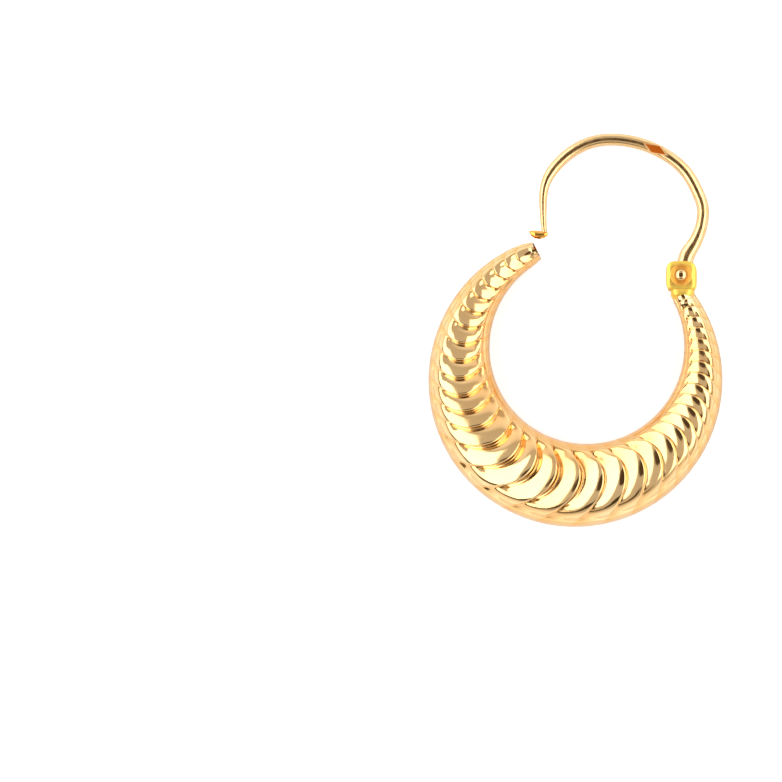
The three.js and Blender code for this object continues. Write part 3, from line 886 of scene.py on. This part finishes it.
class EARRING_OT_rivet(bpy.types.Operator):
    """Model the rivet with its two peened heads"""

    bl_idname = "earring.rivet"
    bl_label = "Rivet"

    dome_steps = 10
    dome_fullness = 0.8
    rim = 0.05
    bevel = 0.02

    def execute(self, context):
        hoop = Hoop(context.scene)
        hinge = hoop.hinge
        seat = hoop.box_half - hinge.dish_depth + hinge.clearance
        profile = []
        for i in range(self.dome_steps + 1):
            turn = math.pi / 2 * i / self.dome_steps
            height = seat + self.rim + (hinge.head_rise - self.rim) * math.cos(turn)
            profile.append((hinge.head * math.sin(turn) ** self.dome_fullness, height))
        profile += [(hinge.head, seat + self.bevel), (hinge.head - self.bevel, seat), (hinge.rivet, seat)]
        profile += [(r, -z) for r, z in reversed(profile)]
        piece = spun_about_pin("rivet", hoop, profile)
        gold = gold_material("rivet gold", context.scene.earring_gold, 700.0, 0.9)
        finish_piece(piece, hoop, "hoop", gold, "hinge_rivet", sharp=45)
        return {"FINISHED"}


class EARRING_OT_ear_wire(bpy.types.Operator):
    """Model the bent ear wire with its knuckle, bare lozenge and foot"""

    bl_idname = "earring.ear_wire"
    bl_label = "Ear wire"

    squareness = 0.86
    knuckle_bevel = 0.06
    first_crown_row = 4
    lozenge_corners = [(-0.5, -0.06), (0.1, -0.5), (0.5, 0.06), (-0.1, 0.5)]

    # The lozenge's rim and floor: the share of its size, how far below its seat each starts, and its height
    rim_plate = (0.99, 0.03, 0.05)
    floor_plate = (0.78, 0.02, 0.06)

    def execute(self, context):
        hoop = Hoop(context.scene)
        finish = context.scene.earring_gold
        depth = hoop.wire.lozenge_depth
        wire = self.stem(hoop)
        combine(wire, self.knuckle(hoop), "UNION")
        combine(wire, self.rivet_hole(hoop), "DIFFERENCE")
        combine(wire, self.lozenge(hoop, 1.0, depth, hoop.wire.thickness), "DIFFERENCE")
        gold = gold_material("foot gold", finish, 900.0, 0.5, tone=finish.foot, extra_roughness=0.04)
        self.hang(self.foot(hoop), hoop, "wire_foot", gold, None, 60)
        gold = gold_material("lozenge rim gold", finish, 900.0, 0.5, extra_roughness=0.45)
        share, below, height = self.rim_plate
        self.hang(self.lozenge(hoop, share, depth + below, height), hoop, "lozenge_rim", gold, None, 40)
        gold = gold_material("lozenge floor gold", finish, 900.0, 1.0, tone=finish.inlay, extra_roughness=0.3)
        share, below, height = self.floor_plate
        self.hang(self.lozenge(hoop, share, depth + below, height), hoop, "lozenge_floor", gold, None, 40)
        gold = gold_material("wire gold", finish, 2200.0, 1.0, extra_roughness=0.09)
        self.hang(wire, hoop, "wire", gold, "ear_wire", 40)
        return {"FINISHED"}

    def hang(self, piece, hoop, name, gold, node, sharp):
        """Turns a piece about the rivet as the wire stands open at rest, and finishes it."""
        piece.name = name
        pin = Vector((hoop.pin.x, hoop.pin.y, 0))
        turn = Matrix.Rotation(-math.radians(hoop.wire.open_at_rest), 4, "Z")
        piece.data.transform(Matrix.Translation(pin) @ turn @ Matrix.Translation(-pin))
        finish_piece(piece, hoop, "wire", gold, node, sharp=sharp)

    def knuckle(self, hoop):
        full = hoop.hinge.knuckle
        half = hoop.hinge.knuckle_thickness / 2
        rim = self.knuckle_bevel
        upper = [(full, half - rim), (full - rim, half), (0, half)]
        profile = [(r, -z) for r, z in reversed(upper)] + upper
        return spun_about_pin("knuckle", hoop, profile)

    def rivet_hole(self, hoop):
        hole = hoop.hinge.rivet + hoop.hinge.clearance
        return spun_about_pin("hole", hoop, [(0, -1), (hole, -1), (hole, 1), (0, 1)])

    def point(self, hoop, row):
        return hoop.pin + hoop.along * (row["along"] * hoop.span) + hoop.out * (row["out"] * hoop.wire.rise)

    def path(self, hoop, share):
        """A centripetal curve through the rows: the place and the direction at a share of its length."""
        points = [self.point(hoop, row) for row in WIRE_ROWS]
        points = [points[0] * 2 - points[1]] + points + [points[-1] * 2 - points[-2]]
        spans = len(WIRE_ROWS) - 1
        i = min(int(share * spans), spans - 1)
        t = share * spans - i
        p0, p1, p2, p3 = points[i:i + 4]
        d0, d1, d2 = (math.sqrt((b - a).length) for a, b in ((p0, p1), (p1, p2), (p2, p3)))
        t1 = ((p1 - p0) / d0 - (p2 - p0) / (d0 + d1) + (p2 - p1) / d1) * d1
        t2 = ((p2 - p1) / d1 - (p3 - p1) / (d1 + d2) + (p3 - p2) / d2) * d1
        c = (p2 - p1) * 3 - t1 * 2 - t2
        d = (p1 - p2) * 2 + t1 + t2
        return p1 + t1 * t + c * t * t + d * t ** 3, (t1 + c * (2 * t) + d * (3 * t * t)).normalized()

    def stem(self, hoop):
        wire = hoop.wire
        spans = len(WIRE_ROWS) - 1
        rows = [{**row, "i": i} for i, row in enumerate(WIRE_ROWS)]
        bm = bmesh.new()
        for v, along, around in rolled_sheet(bm, wire.sides, wire.rings):
            at, ahead = self.path(hoop, along)
            outward = Vector((ahead.y, -ahead.x))
            x, y = round_square(around, self.squareness)
            p = at + outward * (x * wire.width * read_table(rows, "i", "width", along * spans) / 2)
            z = y * wire.thickness * read_table(rows, "i", "thickness", along * spans) / 2
            v.co = (p.x, p.y, z)
        close_ends(bm)
        tidy(bm)
        return new_object("stem", bm)

    def foot(self, hoop):
        """The catch: a small spoon, flat on top and bellied below."""
        wire = hoop.wire
        turn = math.radians(wire.open_at_rest - wire.foot_turn)
        along_foot = -hoop.tip_normal
        along_foot = Vector((along_foot.x * math.cos(turn) - along_foot.y * math.sin(turn),
                             along_foot.x * math.sin(turn) + along_foot.y * math.cos(turn)))
        up = Vector((along_foot.y, -along_foot.x))
        first = FOOT_ROWS[0]["along"]
        bm = bmesh.new()
        for v, along, around in rolled_sheet(bm, 32, 40):
            at = first + along * (1 - first)
            top = read_table(FOOT_ROWS, "along", "top", at)
            bottom = read_table(FOOT_ROWS, "along", "bottom", at)
            thick = read_table(FOOT_ROWS, "along", "thick", at)
            y = (top + bottom) / 2 + math.cos(around) * (top - bottom) / 2
            p = hoop.hook + along_foot * (at * wire.foot_length) + up * (y * wire.foot_height)
            v.co = (p.x, p.y, math.sin(around) * thick * wire.foot_thickness / 2)
        close_ends(bm)
        tidy(bm)
        return new_object("foot", bm)

    def lozenge(self, hoop, share_of_size, depth, height):
        """A slanted four-cornered plate whose foot lies below the wire's top."""
        wire = hoop.wire
        first = self.first_crown_row
        rows = [{"along": row["along"], "i": i} for i, row in enumerate(WIRE_ROWS[first:], first)]
        share = read_table(rows, "along", "i", wire.lozenge_at) / (len(WIRE_ROWS) - 1)
        at, ahead = self.path(hoop, share)
        out = Vector((ahead.y, -ahead.x))
        length = wire.lozenge_length * share_of_size
        tall = wire.lozenge_height * share_of_size
        points = [at + ahead * (x * length) + out * (y * tall) for x, y in self.lozenge_corners]
        floor = wire.thickness / 2 - depth
        return plate("lozenge", points, floor, floor + height)


class EARRING_OT_stage(bpy.types.Operator):
    """Set the pale table, the soft lights and the camera"""

    bl_idname = "earring.stage"
    bl_label = "Stage"

    def execute(self, context):
        scene = context.scene
        scene.view_settings.view_transform = "Standard"
        scene.view_settings.look = "None"
        self.table_top()
        self.world(scene)
        self.camera(scene)
        return {"FINISHED"}

    def table_top(self):
        bm = bmesh.new()
        bmesh.ops.create_grid(bm, x_segments=1, y_segments=1, size=TABLE_HALF)
        top = new_object("table", bm)
        paper = bpy.data.materials.new("white paper")
        paper.use_nodes = True
        shader = paper.node_tree.nodes["Principled BSDF"]
        for name, value in PAPER.items():
            shader.inputs[name].default_value = value
        path = paper.node_tree.nodes.new("ShaderNodeLightPath")
        glow = paper.node_tree.nodes.new("ShaderNodeMath")
        glow.operation = "MULTIPLY"
        glow.inputs[1].default_value = PAPER_GLOW
        paper.node_tree.links.new(path.outputs["Is Camera Ray"], glow.inputs[0])
        paper.node_tree.links.new(glow.outputs[0], shader.inputs["Emission Strength"])
        top.data.materials.append(paper)

    def world(self, scene):
        """A light tent: a dark lens hole overhead, a grey ceiling, two windows, and low white walls."""
        world = bpy.data.worlds.new("light tent")
        world.use_nodes = True
        nodes = world.node_tree.nodes
        link = world.node_tree.links.new

        def maths(operation, first, second=0.0, clamp=False):
            node = nodes.new("ShaderNodeMath")
            node.operation = operation
            node.use_clamp = clamp
            feed(link, node.inputs[0], first)
            feed(link, node.inputs[1], second)
            return node.outputs[0]

        def between(value, low, high):
            rise = maths("MULTIPLY", maths("SUBTRACT", value, low - PANE_EDGE), 1 / PANE_EDGE, True)
            fall = maths("MULTIPLY", maths("SUBTRACT", high + PANE_EDGE, value), 1 / PANE_EDGE, True)
            return maths("MULTIPLY", rise, fall)

        def length(x, y):
            return maths("SQRT", maths("ADD", maths("MULTIPLY", x, x), maths("MULTIPLY", y, y)))

        place = nodes.new("ShaderNodeTexCoord")
        turned = nodes.new("ShaderNodeMapping")
        turned.inputs["Rotation"].default_value = (0, 0, -math.radians(scene.earring_studio.roll))
        link(place.outputs["Generated"], turned.inputs["Vector"])
        split = nodes.new("ShaderNodeSeparateXYZ")
        link(turned.outputs["Vector"], split.inputs["Vector"])
        below = maths("MAXIMUM", maths("ADD", split.outputs["Z"], 1.0), 0.05)
        right = maths("DIVIDE", split.outputs["X"], below)
        up = maths("DIVIDE", split.outputs["Y"], below)
        level = nodes.new("ShaderNodeValToRGB")
        stops = level.color_ramp.elements
        for i, row in enumerate(TENT_STOPS):
            stop = stops[0] if i == 0 else stops[-1] if i == len(TENT_STOPS) - 1 else stops.new(row["at"])
            stop.position = row["at"]
            stop.color = (*row["light"], 1)
        link(length(right, up), level.inputs["Fac"])
        total = level.outputs["Color"]
        for pane in PANES:
            mask = maths("MULTIPLY", between(right, *pane["right"]), between(up, *pane["up"]))
            total = mixed(nodes, link, "RGBA", mask, total, pane["light"])
        lens = between(length(right, maths("SUBTRACT", up, LENS_UP)), -1, LENS_RADIUS)
        link(mixed(nodes, link, "RGBA", lens, total, LENS_GREY), nodes["Background"].inputs["Color"])
        nodes["Background"].inputs["Strength"].default_value = 1.0
        scene.world = world

    def camera(self, scene):
        studio = scene.earring_studio
        hoop = Hoop(scene)
        centre = hoop.to_world() @ Vector((0, 0, 0))
        roll = math.radians(studio.roll)
        lean = math.radians(studio.lean)
        level = Vector((math.cos(roll), math.sin(roll), 0))
        right = level * math.cos(lean) - Vector((0, 0, math.sin(lean)))
        back = level * math.sin(lean) + Vector((0, 0, math.cos(lean)))
        up = back.cross(right)
        half = studio.photo_side / 2
        scale = studio.mm_per_px * MM
        spot = centre - right * ((studio.hoop_px[0] - half) * scale)
        spot += up * ((studio.hoop_px[1] - half) * scale)
        data = bpy.data.cameras.new("camera")
        data.sensor_width = 36.0
        data.lens = data.sensor_width * studio.distance * MM / (studio.photo_side * scale)
        data.clip_start = 0.01
        camera = bpy.data.objects.new("camera", data)
        camera.matrix_world = Matrix((right, up, back)).transposed().to_4x4()
        camera.location = spot + back * (studio.distance * MM)
        scene.collection.objects.link(camera)
        scene.camera = camera


class EARRING_PT_panel(bpy.types.Panel):
    """Lists the pieces, and the sizes and colours of the hoop and the wire"""

    bl_idname = "EARRING_PT_panel"
    bl_label = "Hoop earring"
    bl_space_type = "VIEW_3D"
    bl_region_type = "UI"
    bl_category = "Earring"

    def draw(self, context):
        for operator in OPERATORS:
            self.layout.operator(operator.bl_idname)
        for group in (context.scene.earring_hoop, context.scene.earring_wire, context.scene.earring_gold):
            for name in group.bl_rna.properties.keys():
                if name not in ("rna_type", "name"):
                    self.layout.prop(group, name)


GROUPS = {
    "earring_hoop": HoopSizes,
    "earring_ribs": RibSizes,
    "earring_hinge": HingeSizes,
    "earring_wire": WireSizes,
    "earring_gold": GoldFinish,
    "earring_studio": StudioSizes,
}
OPERATORS = (
    EARRING_OT_hoop_shell,
    EARRING_OT_hinge_box,
    EARRING_OT_rivet,
    EARRING_OT_ear_wire,
    EARRING_OT_stage,
)


def register():
    for name, group in GROUPS.items():
        bpy.utils.register_class(group)
        setattr(bpy.types.Scene, name, PointerProperty(type=group))
    for operator in OPERATORS:
        bpy.utils.register_class(operator)
    bpy.utils.register_class(EARRING_PT_panel)


def unregister():
    bpy.utils.unregister_class(EARRING_PT_panel)
    for operator in reversed(OPERATORS):
        bpy.utils.unregister_class(operator)
    for name, group in GROUPS.items():
        delattr(bpy.types.Scene, name)
        bpy.utils.unregister_class(group)


def main():
    register()
    bpy.ops.earring.hoop_shell()
    bpy.ops.earring.hinge_box()
    bpy.ops.earring.rivet()
    bpy.ops.earring.ear_wire()
    bpy.ops.earring.stage()


if __name__ == "__main__":
    main()
